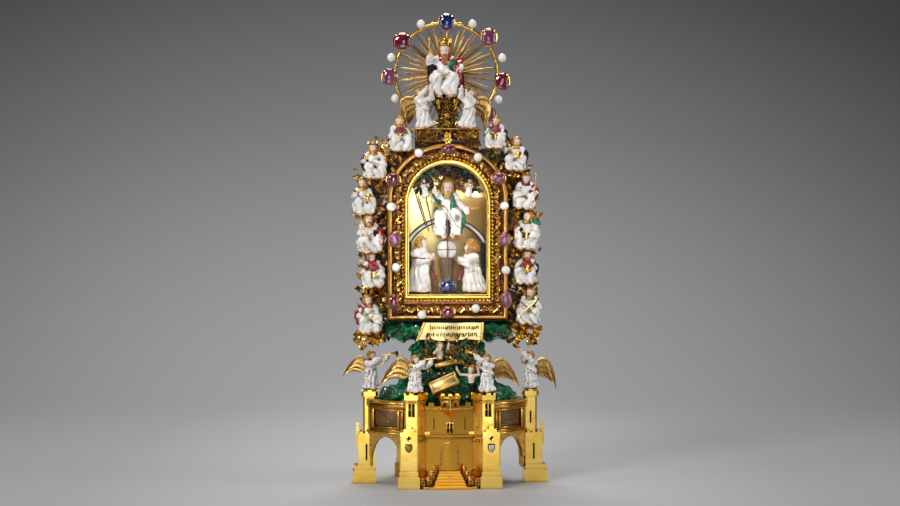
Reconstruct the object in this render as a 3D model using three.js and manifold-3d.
// A goldsmith's standing reliquary: a gold castle on legs, a green enamelled hill on it with
// trumpeting angels and opening tombs, an arched case with a crystal window over a Last Judgement,
// twelve seated saints in oak sprays round its border, and a crest of rays, ring and gems.
// Millimetres, +Z up, the front faces -Y, and the origin is on the ground under the middle.
import * as THREE from "three";
import { mergeVertices } from "three/addons/utils/BufferGeometryUtils.js";
import Module from "manifold-3d";

const wasm = await Module();
wasm.setup();

// ---------------------------------------------------------------- driving dimensions
const GAP = 0.3; // clearance left between separate pieces

const CASTLE = {
  floorZ: 33.5, // underside of the deck that the legs carry
  floorTop: 35.5,
  wallTop: 53, // top of the diagonal walls
  crownZ: 56.2, // underside of the tower crowns
  crownTop: 59.2,
  toothTop: 60.3,
  wall: 2.2, // thickness of the walls
  stringZ: 32.2, // the string course round the gate
};
const FRONT_TOWER = { innerX: 15.2, faceX: 20.7, outerX: 28, frontY: 34, backY: 20, chamferY: 28.5 };
const BUTTRESS = { x0: 20.7, x1: 31.6, frontY: 36.4, plinth: 13.9, shoulderZ: 33.9, peakZ: 40 };
const OUTER_TOWER = {
  x: 54.4, lower: 11, upperX: 52.4, upper: 8.6, plinthX: 55.8, plinth: 15, shift: 2,
};
const GATE = { halfWidth: 15.4, sideY: 28.2, middleY: 32.4, top: 50.4, toothTop: 53.6 };
const STAIR = { halfBottom: 10.8, halfTop: 6.9, frontY: 40.6, backY: 32, height: 10.8, steps: 6 };

const CASE = { halfWidth: 36.6, backY: 7.5, frontY: -5.7, wall: 1.5, innerHalf: 27.2 };
const FRAME = { halfWidth: 38.9, bottom: 105.8, archZ: 184.3, archRise: 35.5, frontY: -13.8, backY: -6 };
const WINDOW = { halfWidth: 25.2, bottom: 122.2, archZ: 181.5, bezel: 2.9, frontY: -13.2 };
const CRYSTAL = { frontY: -11.6, backY: -9.8 };
const CREST = { ringZ: 266.2, ringR: 33.5, tube: 1.05, y: 5.6, platformTop: 230, rays: 28 };

// ---------------------------------------------------------------- geometry helpers
const deg = THREE.MathUtils.degToRad;

// The solid that a closed geometry encloses.
function solid(geometry) {
  const bare = geometry.index ? geometry.toNonIndexed() : geometry.clone();
  for (const name of Object.keys(bare.attributes)) {
    if (name !== "position") bare.deleteAttribute(name);
  }
  const merged = mergeVertices(bare, 1e-4);
  const index = merged.index.array;
  const kept = [];
  for (let i = 0; i < index.length; i += 3) {
    const [a, b, c] = [index[i], index[i + 1], index[i + 2]];
    if (a !== b && b !== c && c !== a) kept.push(a, b, c);
  }
  const vertProperties = new Float32Array(merged.attributes.position.array);
  const made = new wasm.Manifold(
    new wasm.Mesh({ numProp: 3, vertProperties, triVerts: new Uint32Array(kept) }),
  );
  return made;
}

// Turns (degrees, about X, then Y, then Z) and moves a geometry.
function placed(geometry, at = [0, 0, 0], turn = [0, 0, 0]) {
  const matrix = new THREE.Matrix4().makeRotationFromEuler(
    new THREE.Euler(deg(turn[0]), deg(turn[1]), deg(turn[2]), "ZYX"),
  );
  matrix.setPosition(...at);
  return geometry.clone().applyMatrix4(matrix);
}

const block = (size, at, turn) => solid(placed(new THREE.BoxGeometry(...size), at, turn));

const ball = (radii, at, turn, around = 8, down = 5) =>
  solid(placed(new THREE.SphereGeometry(1, around, down).scale(...radii), at, turn));

// A box between two opposite corners.
const span = (x0, x1, y0, y1, z0, z1) =>
  block([x1 - x0, y1 - y0, z1 - z0], [(x0 + x1) / 2, (y0 + y1) / 2, (z0 + z1) / 2]);

// An outline in plan, [[x, y], ...], raised from z0 to z1.
function prism(points, z0, z1) {
  const shape = new THREE.Shape(points.map(([x, y]) => new THREE.Vector2(x, y)));
  const geometry = new THREE.ExtrudeGeometry(shape, { depth: z1 - z0, bevelEnabled: false });
  return solid(placed(geometry, [0, 0, z0]));
}

// An outline seen from the front, [[x, z], ...] or a Shape, from y0 back to y1.
function slab(outline, y0, y1, curveSegments = 12) {
  const shape = outline instanceof THREE.Shape
    ? outline
    : new THREE.Shape(outline.map(([x, z]) => new THREE.Vector2(x, z)));
  const geometry = new THREE.ExtrudeGeometry(shape, {
    depth: y1 - y0,
    bevelEnabled: false,
    curveSegments,
  });
  return solid(placed(geometry, [0, y1, 0], [90, 0, 0]));
}

// A round bar from a to b, with its own radius at each end.
function bar(a, b, ra, rb = ra, sides = 6) {
  const from = new THREE.Vector3(...a);
  const to = new THREE.Vector3(...b);
  const along = to.clone().sub(from);
  const geometry = new THREE.CylinderGeometry(rb, ra, along.length(), sides);
  const turn = new THREE.Quaternion().setFromUnitVectors(
    new THREE.Vector3(0, 1, 0),
    along.clone().normalize(),
  );
  geometry.applyQuaternion(turn);
  const middle = from.add(to).multiplyScalar(0.5);
  return solid(geometry.translate(middle.x, middle.y, middle.z));
}

// A skin over rings of points that all have the same count, closed flat at both ends.
function loft(rings) {
  const count = rings[0].length;
  const points = rings.flat();
  const faces = [];
  for (let r = 0; r + 1 < rings.length; r++) {
    for (let i = 0; i < count; i++) {
      const j = (i + 1) % count;
      const [a, b] = [r * count + i, r * count + j];
      const [c, d] = [a + count, b + count];
      faces.push(a, b, d, a, d, c);
    }
  }
  const last = (rings.length - 1) * count;
  for (let i = 1; i + 1 < count; i++) {
    faces.push(0, i + 1, i, last, last + i, last + i + 1);
  }
  const geometry = new THREE.BufferGeometry()
    .setAttribute("position", new THREE.Float32BufferAttribute(points.flat(), 3))
    .setIndex(faces);
  return solid(geometry);
}

// A limb: a skin of upright diamonds or hexagons through points, with a radius at each point.
function limb(points, radii, sides = 4) {
  const path = points.map((p) => new THREE.Vector3(...p));
  const rings = path.map((p, i) => {
    const next = path[Math.min(i + 1, path.length - 1)];
    const before = path[Math.max(i - 1, 0)];
    const turn = new THREE.Quaternion().setFromUnitVectors(
      new THREE.Vector3(0, 0, 1),
      next.clone().sub(before).normalize(),
    );
    return Array.from({ length: sides }, (_, k) => {
      const a = (k / sides) * 2 * Math.PI;
      const out = new THREE.Vector3(Math.cos(a), Math.sin(a), 0).multiplyScalar(radii[i]);
      return out.applyQuaternion(turn).add(p).toArray();
    });
  });
  return loft(rings);
}

const joined = (solids) => wasm.Manifold.union(solids);

// Copies of a solid mirrored left to right, front to back, or both.
const mirrorX = (s) => s.mirror([1, 0, 0]);
const mirrorY = (s) => s.mirror([0, 1, 0]);
const bothSides = (s) => [s, mirrorX(s)];
const fourWays = (s) => [s, mirrorX(s), mirrorY(s), mirrorX(mirrorY(s))];

// ---------------------------------------------------------------- materials
const MATERIALS = {
  gold: { color: 0xd9a441, roughness: 0.25, metalness: 1 },
  old_gold: { color: 0xb9812c, roughness: 0.38, metalness: 1 },
  white_enamel: { color: 0xf1ede2, roughness: 0.22, metalness: 0 },
  green_enamel: { color: 0x0b5a35, roughness: 0.16, metalness: 0 },
  dark_enamel: { color: 0x3a1d18, roughness: 0.3, metalness: 0 },
  ruby: { color: 0x7a1836, roughness: 0.08, metalness: 0 },
  sapphire: { color: 0x1c3f9a, roughness: 0.08, metalness: 0 },
  crystal: { color: 0xf4f8f8, roughness: 0.03, metalness: 0, transparent: true, opacity: 0.2 },
  thorn: { color: 0x5b4025, roughness: 0.8, metalness: 0 },
};
const materialOf = Object.fromEntries(
  Object.entries(MATERIALS).map(([name, look]) => [
    name,
    new THREE.MeshStandardMaterial({ name, ...look }),
  ]),
);

const reliquary = new THREE.Group();

// Adds a solid as a named mesh.
function add(name, made, material) {
  const { vertProperties, triVerts, numProp } = made.getMesh();
  const geometry = new THREE.BufferGeometry()
    .setAttribute("position", new THREE.BufferAttribute(new Float32Array(vertProperties), numProp))
    .setIndex(new THREE.BufferAttribute(new Uint32Array(triVerts), 1));
  geometry.computeVertexNormals();
  const mesh = new THREE.Mesh(geometry, materialOf[material]);
  mesh.name = name;
  reliquary.add(mesh);
}

// ---------------------------------------------------------------- castle
// A plan outline grown outwards from its middle by a margin, for plinths, mouldings and crowns.
function grown(points, margin) {
  const cx = points.reduce((s, p) => s + p[0], 0) / points.length;
  const cy = points.reduce((s, p) => s + p[1], 0) / points.length;
  return points.map(([x, y]) => {
    const length = Math.hypot(x - cx, y - cy);
    const k = (length + margin * 1.25) / length;
    return [cx + (x - cx) * k, cy + (y - cy) * k];
  });
}

const rectangle = (x, y, width, depth) => [
  [x - width / 2, y - depth / 2], [x + width / 2, y - depth / 2],
  [x + width / 2, y + depth / 2], [x - width / 2, y + depth / 2],
];

// A rectangle in plan with its four corners cut off.
function chamfered(x, y, width, depth, cut) {
  const [w, d] = [width / 2, depth / 2];
  return [
    [x - w, y - d + cut], [x - w + cut, y - d], [x + w - cut, y - d], [x + w, y - d + cut],
    [x + w, y + d - cut], [x + w - cut, y + d], [x - w + cut, y + d], [x - w, y + d - cut],
  ];
}

// A crown: a corbelled head with square teeth standing on its rim, one to each pitch.
const TOOTH = { pitch: 5.6, width: 2.6 };
function crown(plan) {
  const head = [prism(grown(plan, 1.1), CASTLE.crownZ, CASTLE.crownTop)];
  const rim = grown(plan, 0.55);
  rim.forEach(([x0, y0], i) => {
    const [x1, y1] = rim[(i + 1) % rim.length];
    const length = Math.hypot(x1 - x0, y1 - y0);
    const count = Math.round(length / TOOTH.pitch);
    for (let k = 0; k < count; k++) {
      const t = (k + 0.5) / count;
      const angle = THREE.MathUtils.radToDeg(Math.atan2(y1 - y0, x1 - x0));
      head.push(
        block(
          [TOOTH.width, 1, CASTLE.toothTop - CASTLE.crownTop + 0.4],
          [x0 + (x1 - x0) * t, y0 + (y1 - y0) * t, (CASTLE.toothTop + CASTLE.crownTop - 0.4) / 2],
          [0, 0, angle],
        ),
      );
    }
  });
  return joined(head);
}

// A plinth: a plain block with a narrower course on it.
function plinth(plan, height) {
  return joined([
    prism(plan, 0, height * 0.72),
    prism(grown(plan, -1), height * 0.6, height),
  ]);
}

// A two-light window: two lancets cut into a face that looks along -Y.
function twoLights(x, y, z, width, height, depth = 1) {
  const light = width * 0.36;
  return [-1, 1].map((side) => {
    const cx = x + (side * width) / 4;
    return span(cx - light / 2, cx + light / 2, y - 1, y + depth, z - height / 2, z + height / 2);
  });
}

function tower() {
  const t = FRONT_TOWER;
  const plan = [
    [t.outerX, -t.frontY], [t.outerX, -t.backY], [t.innerX, -t.backY],
    [t.innerX, -t.chamferY], [t.faceX, -t.frontY],
  ];
  const b = BUTTRESS;
  const middle = (b.x0 + b.x1) / 2;
  const half = (b.x1 - b.x0) / 2;
  const rise = (b.peakZ - b.shoulderZ) / 3;
  const rightEdge = [[1, 0], [1, 1], [0.62, 1], [0.62, 2], [0.28, 2], [0.28, 3]].map(
    ([x, z]) => [x * half, b.shoulderZ + z * rise],
  );
  const leftEdge = rightEdge.map(([x, z]) => [-x, z]).reverse();
  const gable = [[half, 6], ...rightEdge, ...leftEdge, [-half, 6]].map(([x, z]) => [middle + x, z]);
  const foot = [
    [middle - b.plinth / 2, -b.frontY - 1.9], [middle + b.plinth / 2, -b.frontY - 1.9],
    [middle + b.plinth / 2, -b.frontY + 9], [middle - b.plinth / 2, -b.frontY + 9],
  ];
  return joined([
    prism(plan, 0, CASTLE.crownZ + 0.5),
    crown(plan),
    slab(gable, -b.frontY, -t.frontY + 1),
    plinth(foot, 10.8),
    prism(grown(plan, 1.2), 0, 10.2),
  ]);
}

// The same tower with the openings of the front: a round one in the gable, a slit and a window.
function piercedTower() {
  const t = FRONT_TOWER;
  const middle = (BUTTRESS.x0 + BUTTRESS.x1) / 2;
  const oculus = bar([middle, -40, 32], [middle, -BUTTRESS.frontY + 1, 32], 1.05, 1.05, 8);
  const slit = block([1.1, 3, 8], [17.9, -31.2, 42], [0, 0, 45]);
  const lights = twoLights((t.faceX + t.outerX) / 2, -t.frontY, 50, 4.4, 9.6);
  return tower().subtract(joined([oculus, slit, ...lights]));
}

function outerTower() {
  const o = OUTER_TOWER;
  const lower = rectangle(o.x, 0, o.lower, 12);
  const upper = chamfered(o.upperX, 0, o.upper, 9.4, 1.3);
  const faceX = o.x + o.lower / 2;
  const teeth = [-1, 0, 1].map((k) => block([1.9, 1.2, 2], [o.x + k * 3.4, -5.6, 32.4]));
  const gable = [];
  for (let k = 0; k < 3; k++) {
    gable.push(span(faceX - 0.6, faceX + 1.3, -4.6 + k * 1.5, 4.6 - k * 1.5, 24, 34.6 + k * 2.2));
  }
  const body = joined([
    prism(lower, 0, 32.2),
    prism(upper, 30, CASTLE.crownZ + 0.5),
    crown(upper),
    plinth(rectangle(o.plinthX, 0, o.plinth, 15), 11.6),
    ...teeth, ...teeth.map(mirrorY), ...gable,
  ]);
  const cuts = [
    span(o.upperX - 0.6, o.upperX + 0.6, -6, -3.7, 38.4, 46.4),
    span(o.x - 0.6, o.x + 0.6, -8, -4.9, 15, 25.4),
    bar([faceX - 1, 0, 31], [faceX + 4, 0, 31], 0.95, 0.95, 8),
  ];
  return body.subtract(joined([...cuts, ...cuts.slice(0, 2).map(mirrorY)]));
}

// The wall between a front tower and an outer tower, over an arch, with a sunk panel.
const WALL_RUN = {
  from: [FRONT_TOWER.outerX - 1, -27.6],
  to: [OUTER_TOWER.upperX - 0.1, -2.2],
};
WALL_RUN.length = Math.hypot(
  WALL_RUN.to[0] - WALL_RUN.from[0], WALL_RUN.to[1] - WALL_RUN.from[1],
);
WALL_RUN.middle = [0, 1].map((k) => (WALL_RUN.from[k] + WALL_RUN.to[k]) / 2);
WALL_RUN.angle = THREE.MathUtils.radToDeg(
  Math.atan2(WALL_RUN.to[1] - WALL_RUN.from[1], WALL_RUN.to[0] - WALL_RUN.from[0]),
);
const PANEL = { halfLength: 10.6, z0: 37, z1: 48.2, depth: 0.8 };

// Puts a solid made about the wall's own middle, along X and facing -Y, where the wall stands.
const onWall = (s) =>
  s.rotate([0, 0, WALL_RUN.angle]).translate([WALL_RUN.middle[0], WALL_RUN.middle[1], 0]);

function diagonalWall() {
  const half = WALL_RUN.length / 2;
  const arch = { half: 12.4, springZ: 16.8, rise: 14.2 };
  const outline = new THREE.Shape();
  outline.moveTo(-half, 10);
  outline.lineTo(-arch.half, 10);
  outline.lineTo(-arch.half, arch.springZ);
  outline.absellipse(0, arch.springZ, arch.half, arch.rise, Math.PI, 0, true);
  outline.lineTo(arch.half, 10);
  outline.lineTo(half, 10);
  outline.lineTo(half, CASTLE.wallTop);
  outline.lineTo(-half, CASTLE.wallTop);
  const t = CASTLE.wall / 2;
  const wall = joined([
    slab(outline, -t, t, 5),
    span(-half, half, -t - 0.8, t + 0.4, CASTLE.wallTop - 2.6, CASTLE.wallTop + 1.6),
    span(-half, half, -t - 0.6, t, 33, 35),
  ]);
  const p = PANEL;
  const sunk = joined([
    span(-p.halfLength - 0.9, p.halfLength + 0.9, -t - 1, -t + 0.35, p.z0 - 0.9, p.z1 + 0.9),
    span(-p.halfLength, p.halfLength, -t - 1, -t + 0.35 + p.depth + GAP, p.z0, p.z1),
  ]);
  return onWall(wall.subtract(sunk));
}

function enamelPanel() {
  const p = PANEL;
  const front = -CASTLE.wall / 2 + 0.35;
  return onWall(
    span(-p.halfLength + GAP, p.halfLength - GAP, front, front + p.depth, p.z0 + GAP, p.z1 - GAP),
  );
}

const gatePlan = (extra) => {
  const g = GATE;
  return [
    [-g.halfWidth, -g.sideY - extra], [0, -g.middleY - extra], [g.halfWidth, -g.sideY - extra],
    [g.halfWidth, -g.sideY + 3], [0, -g.middleY + 3.4], [-g.halfWidth, -g.sideY + 3],
  ];
};

// The gate: a wall that comes forward to an edge in the middle, with a bay and steps.
function gate() {
  const g = GATE;
  const parts = [
    prism(gatePlan(0), 0, g.top),
    prism(gatePlan(0.9), CASTLE.stringZ, CASTLE.stringZ + 1.6),
    prism(gatePlan(0.8), g.top - 0.9, g.top + 1.4),
  ];
  for (const side of [-1, 1]) {
    const middle = [side * 11.6, -30.2, (g.toothTop + g.top) / 2 + 0.6];
    parts.push(block([3.4, 1.3, g.toothTop - g.top], middle, [0, 0, side * 15]));
  }
  const bay = (k, front) => [
    [-7.7 * k, -29], [-6.2 * k, -front + 3.6], [0, -front], [6.2 * k, -front + 3.6], [7.7 * k, -29],
  ];
  const atHeight = (flat, z) => flat.map(([x, y]) => [x, y, z]);
  parts.push(
    loft([
      atHeight(bay(0.05, 33), 43.6), atHeight(bay(0.45, 34.2), 46.4), atHeight(bay(0.95, 37.4), 50.2),
      atHeight(bay(0.95, 37.4), 56.4), atHeight(bay(1.06, 38.4), 56.8), atHeight(bay(1.06, 38.4), 59),
    ]),
  );
  for (const x of [-4.6, 0, 4.6]) {
    const y = -38.2 + Math.abs(x) * 0.52;
    parts.push(block([2.2, 1.4, 1.5], [x, y + 0.9, 59.5]));
  }
  const cuts = [
    ...twoLights(0, -g.middleY, 38.4, 4.4, 7.2, 1.6),
    block([1.5, 3, 2.6], [-3.4, -35.6, 53.2], [0, 0, -30]),
    block([1.5, 3, 2.6], [3.4, -35.6, 53.2], [0, 0, 30]),
    ...bothSides(span(9.6, 10.2, -32, -29, 37, 44.6)),
  ];
  return joined(parts).subtract(joined(cuts));
}

// The plain wall and step at the back.
function backGate() {
  return mirrorY(joined([
    prism(gatePlan(0), 0, GATE.top),
    prism(gatePlan(0.9), CASTLE.stringZ, CASTLE.stringZ + 1.6),
    prism(stepPlate(), 0, 1.7),
  ]));
}

const stepPlate = () => [
  [-19.6, -27], [-19.6, -35.8], [-12.4, -STAIR.frontY], [12.4, -STAIR.frontY], [19.6, -35.8], [19.6, -27],
];

function stairs() {
  const s = STAIR;
  const parts = [prism(stepPlate(), 0, 1.7)];
  for (let k = 0; k < s.steps; k++) {
    const t = k / (s.steps - 1);
    const half = s.halfBottom + (s.halfTop - s.halfBottom) * t;
    const front = s.frontY - 0.7 - (s.frontY - s.backY - 1) * t * 0.9;
    parts.push(span(-half, half, -front, -29, 0.5, (s.height * (k + 1)) / s.steps));
  }
  const parapet = [
    [-38.4, 0.5], [-38.4, 4.6], [-36.6, 5.4], [-35.6, 8.6], [-33.8, 9.4], [-33, 12.4], [-28, 12.4],
    [-28, 0.5],
  ];
  const side = slab(parapet, 0, 1.5).rotate([0, 0, 90]).rotate([0, 0, -16]).translate([10.4, 0, 0]);
  parts.push(...bothSides(side));
  return joined(parts);
}

function deck() {
  const plan = [
    [-51.5, -3], [-28, -29], [28, -29], [51.5, -3], [51.5, 3], [28, 29], [-28, 29], [-51.5, 3],
  ];
  return prism(plan, CASTLE.floorZ, CASTLE.floorTop);
}

add(
  "castle",
  joined([
    deck(),
    ...bothSides(piercedTower()),
    ...bothSides(mirrorY(tower())),
    ...bothSides(outerTower()).map((s) => s.translate([OUTER_TOWER.shift, 0, 0])),
    ...fourWays(diagonalWall()),
    gate(),
    stairs(),
    backGate(),
  ]),
  "gold",
);
add("enamel_panel_right", enamelPanel(), "dark_enamel");
add("enamel_panel_left", mirrorX(enamelPanel()), "dark_enamel");

// The shields hung on the two front buttresses.
function shield(x) {
  const outline = new THREE.Shape();
  outline.moveTo(-2.1, 2.4);
  outline.lineTo(2.1, 2.4);
  outline.quadraticCurveTo(2.2, -1.6, 0, -3);
  outline.quadraticCurveTo(-2.2, -1.6, -2.1, 2.4);
  return slab(outline, -0.8, 0, 4).translate([x, -BUTTRESS.frontY - GAP, 26]);
}
const buttressX = (BUTTRESS.x0 + BUTTRESS.x1) / 2;
add("shield_left", shield(-buttressX), "gold");
add("shield_right", shield(buttressX), "gold");

// ---------------------------------------------------------------- hill
// Half width and half depth of the hill at each height. It swells, necks in, then spreads out
// into the lobed ground that carries the case.
const HILL_PROFILE = [
  [35.8, 42, 17], [59, 42, 17.5], [62, 38, 20.5], [69, 28, 20], [77, 22.5, 17.5], [86, 20.8, 15.5],
  [97, 25, 14],
];
const HILL_LOBES = [[31, -1, 98.5, 7.6, 11, 6.6], [20, -4, 97.5, 8.2, 10, 6.4]];

function hill() {
  const around = 16;
  const rings = HILL_PROFILE.map(([z, rx, ry], r) =>
    Array.from({ length: around }, (_, i) => {
      const a = (i / around) * 2 * Math.PI;
      const lump = 1 + (r > 1 ? 0.055 : 0.01) * Math.sin(5 * a + 1.7 * r) * Math.cos(3 * a - r);
      return [Math.cos(a) * rx * lump, Math.sin(a) * ry * lump, z];
    }),
  );
  const ground = chamfered(0, 0, 76, 26, 5);
  const lobes = HILL_LOBES.flatMap(([x, y, z, a, b, c]) =>
    bothSides(ball([a, b, c], [x, y, z], undefined, 8, 4)),
  );
  return joined([loft(rings), prism(ground, 100.5, 105.2), ...lobes]);
}

// A tomb: a chest or lid in gold, tipped as its occupant pushes out of the ground.
const TOMBS = {
  tomb_lower: { size: [18.5, 5.2, 8.4], at: [-3.2, -23.6, 65.6], turn: [-22, -23, 0] },
  tomb_upper: { size: [14.5, 6, 2.6], at: [-1.6, -19.4, 77.8], turn: [-14, -12, 0] },
};

function tomb({ size, at, turn }) {
  const [w, d, h] = size;
  const chest = new THREE.BoxGeometry(w, d, h);
  const moulding = new THREE.BoxGeometry(w * 0.9, d * 0.4, h * 0.74).translate(0, -d / 2, 0);
  return joined([chest, moulding].map((g) => solid(placed(g, at, turn))));
}

// A naked figure coming out of the ground: trunk, head and two arms.
function risen({ at, lean, hands }) {
  const [x, y, z] = at;
  const head = [x + lean * 9.5, y - 1, z + 14.5];
  const shoulder = [x + lean * 7, y, z + 10.5];
  const neck = [shoulder[0], shoulder[1], shoulder[2] + 2.2];
  const parts = [
    limb([[x, y + 2, z - 2], shoulder, neck, head], [2.6, 3, 1.2, 1], 6),
    ball([1.9, 2.1, 2.4], head, undefined, 6, 4),
  ];
  hands.forEach((hand, i) => {
    const side = i ? 1 : -1;
    const root = [shoulder[0] + side * 1.6, shoulder[1], shoulder[2] + 0.3];
    const elbow = [0, 1, 2].map((k) => (root[k] + hand[k]) / 2 + [side, 0, -1][k]);
    parts.push(limb([root, elbow, hand], [1.2, 1.1, 0.9]));
  });
  return joined(parts);
}
const RISEN = {
  risen_upper: { at: [-6, -19.6, 75.5], lean: -0.05, hands: [[-10.6, -20.6, 78.4], [-1.4, -20.4, 89.6]] },
  risen_right: { at: [13.2, -22.6, 62.6], lean: -0.02, hands: [[6.6, -24.4, 73.6], [18.6, -24.6, 74.6]] },
};

const tombs = Object.fromEntries(Object.entries(TOMBS).map(([name, t]) => [name, tomb(t)]));
const risenFigures = Object.fromEntries(Object.entries(RISEN).map(([name, r]) => [name, risen(r)]));

// Room for the pieces that are sunk into the hill, a gap wider than they are.
function hollowFor(s) {
  const box = s.boundingBox();
  const middle = [0, 1, 2].map((k) => (box.min[k] + box.max[k]) / 2);
  const grow = [0, 1, 2].map((k) => 1 + (2 * GAP) / (box.max[k] - box.min[k]) + 0.02);
  return s
    .translate(middle.map((v) => -v))
    .scale(grow)
    .translate(middle);
}
const lower = tombs.tomb_lower;
const upper = tombs.tomb_upper;
const freeOf = (s, others) => s.subtract(joined(others.map(hollowFor)));
risenFigures.risen_upper = freeOf(risenFigures.risen_upper, [upper]);
risenFigures.risen_right = freeOf(risenFigures.risen_right, [lower]);
const sunk = [lower, upper, risenFigures.risen_upper, risenFigures.risen_right];

// Keeps only the largest body of a solid, when a cut has left a crumb beside it.
function largest(s) {
  return s.decompose().sort((a, b) => b.volume() - a.volume())[0];
}
add("hill", largest(freeOf(hill(), sunk)), "green_enamel");
for (const [name, made] of Object.entries(tombs)) add(name, made, "gold");
for (const [name, made] of Object.entries(risenFigures)) add(name, largest(made), "white_enamel");

// The scroll below the case: a waved strip with a roll at each end, upright.
function scroll() {
  const points = [];
  const steps = 8;
  for (let i = 0; i <= steps; i++) {
    const x = -20.4 + (40.8 * i) / steps;
    points.push([x, -16.6 + 0.7 * Math.cos((x / 20.4) * 2.6)]);
  }
  const back = points.map(([x, y]) => [x, y + 0.9]).reverse();
  const sheet = prism([...points, ...back], -5.6, 5.6);
  const rolls = [-1, 1].map((s) => bar([s * 20.6, -16.4, -6.2], [s * 20.6, -16.4, 5.8], 1.5, 1.5, 8));
  return joined([sheet, ...rolls]).rotate([-8, 0, 0]).translate([1, -1.8, 98.9 - 2.4]);
}
add("scroll", scroll(), "gold");

// ---------------------------------------------------------------- arched case, border and window
// The arched outline of the case and its border, inset by a margin.
function archOutline({ halfWidth, bottom, archZ, rise }, inset = 0) {
  const shape = new THREE.Shape();
  const w = halfWidth - inset;
  shape.moveTo(-w, bottom + inset);
  shape.lineTo(w, bottom + inset);
  shape.lineTo(w, archZ);
  shape.absellipse(0, archZ, w, rise - inset, 0, Math.PI, false);
  return shape;
}
const ARC = 7; // half the number of sides that an arch is drawn with
const OUTER_ARCH = {
  halfWidth: FRAME.halfWidth, bottom: FRAME.bottom, archZ: FRAME.archZ, rise: FRAME.archRise,
};
const INNER_ARCH = {
  halfWidth: WINDOW.halfWidth, bottom: WINDOW.bottom, archZ: WINDOW.archZ, rise: WINDOW.halfWidth,
};

function caseBody() {
  const rim = FRAME.halfWidth - CASE.halfWidth;
  const shell = slab(archOutline(OUTER_ARCH, rim), CASE.frontY, CASE.backY, ARC);
  const hollow = archOutline(OUTER_ARCH, rim + CASE.wall);
  const channel = slab(hollow, CASE.frontY - 1, CASE.backY - CASE.wall, ARC);
  const grow = WINDOW.halfWidth - CASE.innerHalf;
  const liner = slab(archOutline(INNER_ARCH, grow - CASE.wall), CASE.frontY, CASE.backY - 0.5, ARC);
  const room = slab(archOutline(INNER_ARCH, grow), CASE.frontY - 1, CASE.backY - CASE.wall, ARC);
  return joined([shell.subtract(channel), liner]).subtract(room);
}
add("case", caseBody(), "gold");

// Rings at several insets and depths give the section of a moulding that follows the arch.
function moulding(section, segments) {
  const levels = section.map(([inset, y]) => {
    const outline = archOutline(OUTER_ARCH, inset).getPoints(segments);
    return outline.slice(0, -1).map((p) => [p.x, y, p.y]);
  });
  const count = levels[0].length;
  const points = levels.flat();
  const faces = [];
  for (let r = 0; r < levels.length; r++) {
    const next = (r + 1) % levels.length;
    for (let i = 0; i < count; i++) {
      const j = (i + 1) % count;
      const [a, b, c, d] = [r * count + i, r * count + j, next * count + j, next * count + i];
      faces.push(a, b, c, a, c, d);
    }
  }
  const geometry = new THREE.BufferGeometry()
    .setAttribute("position", new THREE.Float32BufferAttribute(points.flat(), 3))
    .setIndex(faces);
  return solid(geometry);
}

// The border: a raised outer moulding, then a hollow that slopes in to the bezel.
const BORDER_SECTION = [
  [0, FRAME.backY], [0, FRAME.frontY + 1.2], [1, FRAME.frontY], [2.2, FRAME.frontY],
  [3.4, FRAME.frontY + 3.4], [6.6, FRAME.frontY + 4.4], [10.6, FRAME.frontY + 3.2], [10.6, FRAME.backY],
];

// Where the border meets the bezel, the opening is the window's own arch, grown by the bezel.
function border() {
  const ring = moulding(BORDER_SECTION, ARC);
  const opening = slab(archOutline(INNER_ARCH, -WINDOW.bezel - GAP), -30, 30, ARC);
  const seat = slab(archOutline(OUTER_ARCH, 8), FRAME.frontY + 3.7, FRAME.backY, ARC);
  return ring.add(seat).subtract(opening);
}

function bezel() {
  const collar = slab(archOutline(INNER_ARCH, -WINDOW.bezel), WINDOW.frontY + 0.8, -8.3, ARC);
  const lip = slab(archOutline(INNER_ARCH, -1.5), WINDOW.frontY, -9, ARC);
  const through = slab(archOutline(INNER_ARCH, 0), -30, 30, ARC);
  const seat = slab(archOutline(INNER_ARCH, -1 - GAP), CRYSTAL.frontY - GAP, 30, ARC);
  return joined([collar, lip]).subtract(through).subtract(seat);
}
add("border", border(), "old_gold");
add("bezel", bezel(), "gold");
add(
  "crystal_window",
  slab(archOutline(INNER_ARCH, -1), CRYSTAL.frontY, CRYSTAL.backY, ARC),
  "crystal",
);

// ---------------------------------------------------------------- figures
// A ring of points for a robe: an ellipse with folds that deepen away from the waist.
function robeRing([z, rx, ry, cy, fold], around, folds, cx = 0) {
  return Array.from({ length: around }, (_, i) => {
    const a = (i / around) * 2 * Math.PI;
    const k = 1 + fold * Math.cos(folds * a);
    return [cx + Math.cos(a) * rx * k, cy + Math.sin(a) * ry * k, z];
  });
}

// Robe sections as shares of the figure's height: height, half width, half depth, middle, fold.
const ROBES = {
  seated: [
    [0, 0.33, 0.17, -0.1, 0.1], [0.3, 0.35, 0.24, -0.08, 0.06], [0.47, 0.22, 0.14, 0.01, 0],
    [0.68, 0.23, 0.12, 0.03, 0], [0.77, 0.08, 0.07, 0.02, 0],
  ],
  standing: [
    [0, 0.22, 0.17, 0, 0.1], [0.3, 0.18, 0.14, 0, 0.06], [0.56, 0.14, 0.11, 0, 0],
    [0.71, 0.16, 0.1, 0, 0], [0.8, 0.06, 0.06, 0, 0],
  ],
  kneeling: [
    [0, 0.2, 0.2, 0.05, 0.08], [0.16, 0.19, 0.19, 0.05, 0.06], [0.36, 0.15, 0.14, 0, 0.02],
    [0.56, 0.14, 0.12, -0.02, 0], [0.7, 0.16, 0.11, -0.02, 0], [0.79, 0.06, 0.06, -0.03, 0],
  ],
};
const HEAD = {
  seated: { z: 0.87, y: 0, r: [0.088, 0.1, 0.125] },
  standing: { z: 0.885, y: -0.01, r: [0.07, 0.085, 0.112] },
  kneeling: { z: 0.885, y: -0.04, r: [0.07, 0.085, 0.112] },
};

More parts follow.
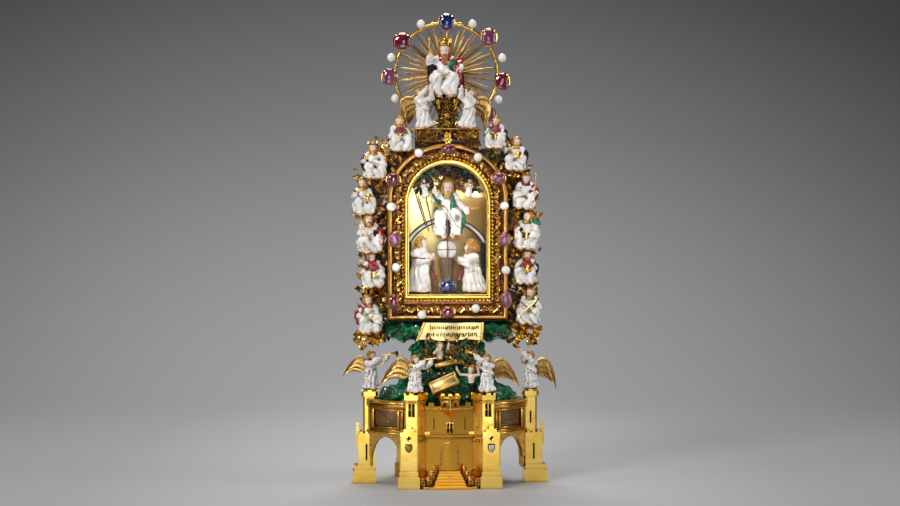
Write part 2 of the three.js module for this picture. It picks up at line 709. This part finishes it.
// A wing: a long blade with a rounded shoulder, hung from the back, as an upright plate.
function wing(length, side, at, turn) {
  const outline = new THREE.Shape();
  outline.moveTo(0, 0);
  outline.quadraticCurveTo(0.16 * length, 0.42 * length, 0.44 * length, 0.3 * length);
  outline.quadraticCurveTo(0.74 * length, 0, length, -0.56 * length);
  outline.quadraticCurveTo(0.6 * length, -0.42 * length, 0.36 * length, -0.2 * length);
  outline.quadraticCurveTo(0.14 * length, -0.26 * length, 0, 0);
  const plate = slab(outline, -0.55, 0.55, 3);
  return (side < 0 ? mirrorX(plate) : plate).rotate(turn).translate(at);
}

// One robed figure. hands are [x, y, z] as shares of its height, in its own frame; extra returns
// more solids in that frame, in millimetres, given the height. depth flattens it from front to back.
function figure({ pose = "seated", height, hands, headShift = 0, turn = 0, roll = 0, depth = 1, at, extra }) {
  const h = height;
  const scaled = (p) => p.map((v) => v * h);
  const rings = ROBES[pose].map(([z, rx, ry, cy, fold]) =>
    robeRing([z * h, rx * h, ry * h, cy * h, fold], 8, 4),
  );
  const head = HEAD[pose];
  const shoulderZ = pose === "seated" ? 0.68 : 0.7;
  const shoulderX = pose === "seated" ? 0.18 : 0.12;
  const parts = [
    loft(rings),
    ball(scaled(head.r), scaled([headShift, head.y, head.z]), undefined, 6, 4),
  ];
  hands.forEach((hand, i) => {
    const side = i ? 1 : -1;
    const root = [side * shoulderX, 0, shoulderZ];
    const middle = [0, (root[1] + hand[1]) / 2, (root[2] + hand[2]) / 2];
    const elbow = [side * (shoulderX + 0.09), middle[1] + 0.02, middle[2] - 0.07];
    parts.push(limb([root, elbow, hand].map(scaled), [0.07 * h, 0.085 * h, 0.045 * h]));
  });
  if (extra) parts.push(...extra(h));
  return joined(parts).rotate([0, roll, turn]).scale([1, depth, 1]).translate(at);
}

// The four trumpeting angels on the towers. A trumpet runs from the mouth to its bell.
function trumpeter({ at, height, turn, bell, wings }) {
  const mouth = [0, -0.12 * height, 0.86 * height];
  const hand = bell.map((v, k) => (mouth[k] / height) * 0.55 + v * 0.45);
  return figure({
    pose: "standing", height, at, turn,
    hands: [[-0.12, -0.24, 0.62], hand],
    extra: (h) => [
      limb(
        [[0, -0.05 * h, 0.86 * h], mouth, bell.map((v) => v * 0.8 * h), bell.map((v) => v * h)],
        [0.05 * h, 0.028 * h, 0.03 * h, 0.075 * h], 5,
      ),
      ...wings.map(([side, length, wingTurn]) =>
        wing(length, side, [side * 1.2, 0.09 * h, 0.62 * h], wingTurn),
      ),
    ],
  });
}
const TOWER_FOOT = CASTLE.toothTop + GAP;
const TRUMPETERS = {
  trumpeter_outer_left: {
    at: [OUTER_TOWER.shift - OUTER_TOWER.upperX + 1.2, 0, TOWER_FOOT], height: 24, turn: 42,
    bell: [0.22, -0.78, 0.98], wings: [[-1, 17.4, [0, -6, -28]]],
  },
  trumpeter_inner_left: {
    at: [-21.8, -27.4, TOWER_FOOT], height: 23, turn: 34,
    bell: [0.46, -0.62, 0.96], wings: [[-1, 20, [0, -4, -18]]],
  },
  trumpeter_inner_right: {
    at: [23.8, -27.4, TOWER_FOOT], height: 23.4, turn: -24,
    bell: [-0.42, -0.5, 1.14], wings: [[1, 19, [0, 4, 22]]],
  },
  trumpeter_outer_right: {
    at: [OUTER_TOWER.shift + OUTER_TOWER.upperX, 0, TOWER_FOOT], height: 23.6, turn: -34,
    bell: [-0.2, -0.46, 1.2], wings: [[1, 17.4, [0, 16, 30]]],
  },
};
for (const [name, spec] of Object.entries(TRUMPETERS)) add(name, trumpeter(spec), "white_enamel");

// The twelve seated saints, six a side, from the bottom up, as [x, z of the seat, height, turn,
// roll, left hand, right hand].
const SAINTS_Y = -6.4;
const SAINTS = {
  saint_left_1: [-50.6, 98.6, 24, 8, -6, [-0.24, -0.2, 0.4], [0.2, -0.26, 0.3]],
  saint_left_2: [-49.2, 127.6, 22.6, 14, 4, [-0.2, -0.2, 0.38], [0.22, -0.24, 0.36]],
  saint_left_3: [-51, 149.8, 25.2, 10, 2, [-0.16, -0.24, 0.44], [0.22, -0.2, 0.36]],
  saint_left_4: [-53.8, 175, 23, -4, -4, [-0.24, -0.2, 0.5], [0.14, -0.26, 0.36]],
  saint_left_5: [-47.6, 197.2, 23.4, 4, 0, [-0.3, -0.16, 0.44], [0.24, -0.2, 0.46]],
  saint_left_6: [-31.2, 215.6, 22.4, 12, 4, [-0.2, -0.24, 0.34], [0.22, -0.24, 0.36]],
  saint_right_1: [53, 104, 23.2, -12, 6, [-0.2, -0.26, 0.34], [0.24, -0.22, 0.36]],
  saint_right_2: [51.4, 129.2, 22.4, -12, 0, [-0.22, -0.22, 0.34], [0.22, -0.24, 0.4]],
  saint_right_3: [52, 152, 24.6, -22, 2, [-0.22, -0.24, 0.44], [0.26, -0.2, 0.34]],
  saint_right_4: [50.2, 178.4, 22.8, -4, 4, [-0.22, -0.24, 0.34], [0.28, -0.18, 0.4]],
  saint_right_5: [44.4, 203.4, 21.2, -14, 6, [-0.3, -0.22, 0.6], [0.2, -0.22, 0.32]],
  saint_right_6: [31.4, 217.2, 20.8, -16, 2, [-0.24, -0.22, 0.44], [0.22, -0.24, 0.34]],
};
for (const [name, [x, z, height, turn, roll, left, right]] of Object.entries(SAINTS)) {
  const made = figure({ height, hands: [left, right], turn, roll, at: [x, SAINTS_Y, z] });
  const clearOfBorder = slab(archOutline(OUTER_ARCH, -GAP), -40, 40, ARC);
  add(name, largest(made.subtract(clearOfBorder)), "white_enamel");
}

// ---------------------------------------------------------------- oak sprays
// A leafy openwork screen that climbs beside the border behind the saints. Its outer edge swells
// into a lobe for each leaf cluster, and its inner edge follows the arch.
const SPRAY = { front: -1.8, back: 2.2, bottom: 91, lobes: 11, reach: 16.5, endAngle: 58 };

function spray(side) {
  const inner = CASE.halfWidth + 2 * GAP;
  const straight = FRAME.archZ - SPRAY.bottom;
  const arc = deg(SPRAY.endAngle) * inner;
  // A point of the arch at a distance along it from the foot, moved outwards by a margin.
  const along = (distance, margin) => {
    if (distance < straight) return [inner + margin, SPRAY.bottom + distance];
    const angle = (distance - straight) / inner;
    const rise = FRAME.archRise - (FRAME.halfWidth - inner);
    return [Math.cos(angle) * (inner + margin), FRAME.archZ + Math.sin(angle) * (rise + margin)];
  };
  const outline = [];
  const total = straight + arc;
  const swell = [0.66, 0.94, 1];
  for (let k = 0; k <= 3 * SPRAY.lobes; k++) {
    const t = k / (3 * SPRAY.lobes);
    const taper = Math.min(1, 0.5 + 4 * t, 0.42 + 3 * (1 - t));
    outline.push(along(t * total, SPRAY.reach * taper * swell[k % 3]));
  }
  for (const t of [1, 0.92, 0.84, 0.76, straight / total, 0.12]) outline.push(along(t * total, 0));
  const clearOfHill = 2.4;
  outline.push(along(0.1 * total, clearOfHill), along(0, clearOfHill));
  return slab(outline.map(([x, z]) => [side * x, z]), SPRAY.front, SPRAY.back);
}
add("oak_spray_left", spray(-1), "old_gold");
add("oak_spray_right", spray(1), "old_gold");

// ---------------------------------------------------------------- the Judgement in the window
const floorZ = WINDOW.bottom + 0.7;
add("globe_on_pillar", joined([
  ball([7.1, 6, 7.1], [0, 0, 151.3], undefined, 10, 7),
  loft([
    [[-3.4, -3, floorZ], [3.4, -3, floorZ], [3.4, 4, floorZ], [-3.4, 4, floorZ]],
    [[-4.8, -3, 145.6], [4.8, -3, 145.6], [4.8, 4, 145.6], [-4.8, 4, 145.6]],
  ]),
]), "white_enamel");

// The rainbow that the judge sits on, from wall to wall.
function rainbow() {
  const outline = new THREE.Shape();
  const [rise, half, z] = [13.6, 26.6, 158.4];
  outline.moveTo(-half, z);
  outline.quadraticCurveTo(0, z + rise * 2, half, z);
  outline.lineTo(half, z - 3.2);
  outline.quadraticCurveTo(0, z - 3.2 + rise * 2, -half, z - 3.2);
  return slab(outline, 4, 5.6, 8);
}
add("rainbow", rainbow(), "white_enamel");
add("judge", figure({
  height: 38.4, hands: [[-0.2, -0.06, 0.72], [0.3, -0.1, 0.52]], depth: 0.5, at: [0.6, 0.4, 159.6],
}), "white_enamel");
add("mourner_left", figure({
  pose: "kneeling", height: 36.6, hands: [[0.02, -0.26, 0.66], [0.08, -0.26, 0.7]],
  turn: 62, depth: 0.62, at: [-17.2, -2.6, floorZ],
}), "white_enamel");
add("mourner_right", figure({
  pose: "kneeling", height: 34, hands: [[-0.08, -0.26, 0.84], [0.0, -0.28, 0.8]],
  turn: -58, depth: 0.62, at: [17, -2.6, floorZ],
}), "white_enamel");

const stone = { half: 5.8, z0: floorZ, z1: floorZ + 9.6, front: -8.8, back: -3.6 };
add("sapphire_foot", loft([0, 0.5, 1].map((t) => {
  const k = 1 - 0.22 * t * t;
  const z = stone.z0 + (stone.z1 - stone.z0) * t;
  return [
    [-stone.half * k, stone.front + 1 - k, z], [stone.half * k, stone.front + 1 - k, z],
    [stone.half * k, stone.back, z], [-stone.half * k, stone.back, z],
  ];
})), "sapphire");
add("thorn", bar([0, -7.4, stone.z1 + GAP], [0.6, -8, 180.6], 0.9, 0.25, 8), "thorn");

// ---------------------------------------------------------------- crest
// The gallery that the crest stands on, cut to the curve of the arch, and the throne above it.
function crestPlatform() {
  const gallery = span(-19.5, 19.5, -7, 7, 210, CREST.platformTop);
  const ledge = span(-20.6, 20.6, -8.4, 8, CREST.platformTop - 1.8, CREST.platformTop);
  const arches = [-15.6, -9.4, 9.4, 15.6].map((x) => {
    const z = FRAME.archZ + FRAME.archRise * Math.sqrt(1 - (x / FRAME.halfWidth) ** 2) + 4;
    return bar([x, -9, z], [x, -5.6, z], 1.9, 1.9, 6);
  });
  const throne = loft([
    robeRing([CREST.platformTop - 1, 7.2, 5, -1, 0.06], 8, 4),
    robeRing([238, 5.8, 4.2, -1, 0.05], 8, 4),
    robeRing([250.6, 9.2, 4.6, -0.4, 0.05], 8, 4),
  ]);
  const clear = slab(archOutline(OUTER_ARCH, -GAP), -40, 40, ARC);
  return joined([gallery.subtract(joined(arches)), ledge, throne]).subtract(clear);
}
add("crest_gallery", largest(crestPlatform()), "old_gold");

// The ring and its rays: a flat star of longer and shorter points, every fourth one reaching
// the ring.
function sunburst() {
  const c = CREST;
  const profile = Array.from({ length: 6 }, (_, i) => {
    const a = (i / 5) * 2 * Math.PI;
    return new THREE.Vector2(c.ringR + Math.cos(a) * c.tube, Math.sin(a) * c.tube);
  });
  const ring = solid(new THREE.LatheGeometry(profile, 28)).translate([0, c.y, c.ringZ]);
  const star = [];
  for (let k = 0; k < 2 * c.rays; k++) {
    const a = (k / (2 * c.rays)) * 2 * Math.PI;
    const reach = k % 2 ? 12 : [c.ringR, 26, 30, 23][(k / 2) % 4];
    star.push([Math.sin(a) * reach, c.ringZ + Math.cos(a) * reach]);
  }
  return joined([ring, slab(star, c.y - 0.6, c.y + 0.6)]);
}
add("sunburst", sunburst(), "gold");

add("enthroned_father", figure({
  height: 40, hands: [[-0.24, -0.14, 0.6], [0.27, -0.14, 0.5]], headShift: -0.03,
  depth: 0.7, at: [-1.6, -0.6, 251],
  extra: (h) => [
    bar([-0.03 * h, 0, 0.93 * h], [-0.03 * h, 0, 1.0 * h], 0.075 * h, 0.1 * h, 6),
    ball([0.07 * h, 0.07 * h, 0.07 * h], [0.29 * h, -0.14 * h, 0.5 * h], undefined, 6, 4),
  ],
}), "white_enamel");

// The two angels that stand on the gallery, raising their hands to the throne.
const CREST_ANGELS = { crest_angel_left: [-1, -16.2], crest_angel_right: [1, 14.8] };
for (const [name, [side, x]] of Object.entries(CREST_ANGELS)) {
  const angel = figure({
    pose: "standing", height: 25, turn: side * -12, depth: 0.8,
    hands: [[-0.1, -0.24, 0.86], [0.1, -0.24, 0.86]],
    at: [x, -5.2, CREST.platformTop + GAP],
    extra: (h) => [wing(h * 0.58, side, [side * 1.6, 0.02 * h, 0.64 * h], [0, side * 46, side * 24])],
  });
  add(name, angel, "white_enamel");
}

// ---------------------------------------------------------------- gems
// A stone in its setting: a low cushion, wide and deep as given, standing off the work.
const gem = ([w, h], at, y) => ball([w / 2, 2.6, h / 2], [at[0], y, at[1]], undefined, 8, 4);

const BORDER_GEM_Y = FRAME.frontY - 2.6 - GAP;
const BORDER_GEMS = {
  ruby_top: [[9, 6.8], [0, 215.9]],
  ruby_upper_left: [[9.4, 9], [-35.4, 196.2]],
  ruby_upper_right: [[9.4, 8.2], [32.6, 197.4]],
  ruby_middle_left: [[8.6, 9.6], [-34.4, 158]],
  ruby_middle_right: [[8, 9.4], [36.4, 158]],
  ruby_lower_left: [[8.2, 9.6], [-35.6, 117.6]],
  ruby_lower_right: [[7.6, 10.8], [37.4, 119]],
  ruby_bottom: [[9.6, 8], [-0.4, 110.6]],
};
for (const [name, [size, at]] of Object.entries(BORDER_GEMS)) {
  add(name, gem(size, at, BORDER_GEM_Y), "ruby");
}

// The stones on the ring stand at these angles from the top, clockwise, with their own sizes.
const RING_GEM_Y = CREST.y - CREST.tube - 2.6 - GAP;
const RING_GEMS = {
  sapphire_top: [0, 33.6, [11, 11.4], "sapphire"],
  ruby_ring_upper_left: [-54.7, 35.8, [12, 12], "ruby"],
  ruby_ring_upper_right: [49.3, 36.6, [10.8, 12.4], "ruby"],
  ruby_ring_middle_left: [-94, 37.4, [10.4, 11.8], "ruby"],
  ruby_ring_middle_right: [97.7, 36.6, [10.4, 12.6], "ruby"],
  ruby_ring_lower_left: [-137, 38.4, [9, 10], "ruby"],
  ruby_ring_lower_right: [134.2, 38, [10.4, 10], "ruby"],
};
for (const [name, [angle, radius, size, material]] of Object.entries(RING_GEMS)) {
  const at = [Math.sin(deg(angle)) * radius, CREST.ringZ + Math.cos(deg(angle)) * radius];
  add(name, gem(size, at, RING_GEM_Y), material);
}

export default reliquary;
